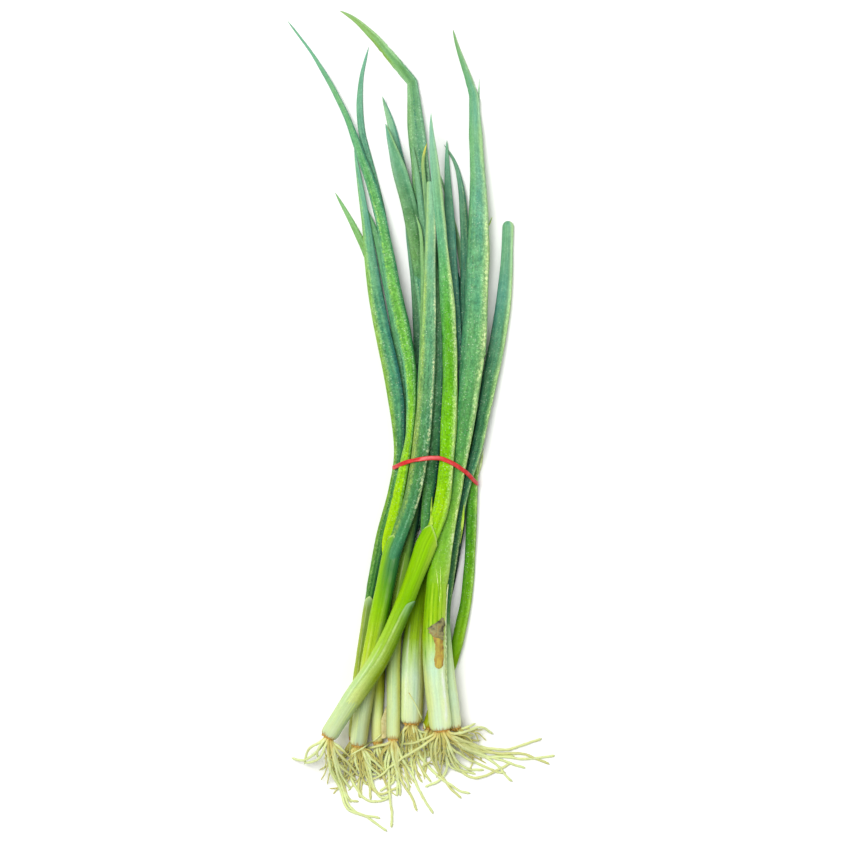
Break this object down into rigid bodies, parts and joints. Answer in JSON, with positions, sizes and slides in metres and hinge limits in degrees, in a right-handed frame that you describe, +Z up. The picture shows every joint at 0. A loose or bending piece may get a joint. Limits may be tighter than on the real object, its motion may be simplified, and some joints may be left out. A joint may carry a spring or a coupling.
{
  "type": "bunch of shallots",
  "caption": "Bunch of long green shallots with white stems, hollow leaves and root tufts, held by a rubber band and lying flat, for a kitchen, shop or market scene.",
  "frame": {"origin": "middle of the bunch's footprint, on the surface it lies on", "axes": "+Y along the bunch from the roots to the leaf tips, +Z up, +X to the right with the leaf tips away from the viewer"},
  "size_m": [0.1614, 0.4934, 0.0272],
  "materials": {
    "white_stem": "smooth waxy skin, white at the root and pale green at the collar",
    "green_leaf": "fresh leaf with a thin bloom of wax and fine veins along it",
    "root": "dull pale yellow root skin, darker at the basal plate",
    "pale_sheath": "thin smooth leaf sheath",
    "dry_skin": "dry papery brown skin",
    "red_rubber": "satin red rubber"
  },
  "bodies": {
    "root": {"shallot_1_stem": "white_stem", "shallot_1_leaf_a": "green_leaf", "shallot_1_leaf_b": "green_leaf", "shallot_1_roots": "root", "shallot_2_stem": "white_stem", "shallot_2_leaf_a": "green_leaf", "shallot_2_leaf_b": "green_leaf", "shallot_2_leaf_c": "green_leaf", "shallot_2_roots": "root", "shallot_3_stem": "white_stem", "shallot_3_leaf_a": "green_leaf", "shallot_3_leaf_b": "green_leaf", "shallot_3_leaf_c": "green_leaf", "shallot_3_roots": "root", "shallot_4_stem": "white_stem", "shallot_4_leaf_a": "green_leaf", "shallot_4_leaf_b": "green_leaf", "shallot_4_roots": "root", "shallot_5_stem": "white_stem", "shallot_5_leaf_a": "green_leaf", "shallot_5_leaf_b": "green_leaf", "shallot_5_leaf_c": "green_leaf", "shallot_5_roots": "root", "shallot_6_stem": "white_stem", "shallot_6_leaf_a": "green_leaf", "shallot_6_leaf_b": "green_leaf", "shallot_6_roots": "root", "shallot_7_stem": "white_stem", "shallot_7_leaf_a": "green_leaf", "shallot_7_leaf_b": "green_leaf", "shallot_7_roots": "root", "shallot_8_stem": "white_stem", "shallot_8_leaf_a": "green_leaf", "shallot_8_leaf_b": "green_leaf", "shallot_8_roots": "root", "shallot_9_stem": "white_stem", "shallot_9_leaf_a": "green_leaf", "shallot_9_roots": "root", "shallot_1_torn_sheath": "pale_sheath", "shallot_7_dry_skin": "dry_skin", "rubber_band": "red_rubber"}
  },
  "joints": []
}
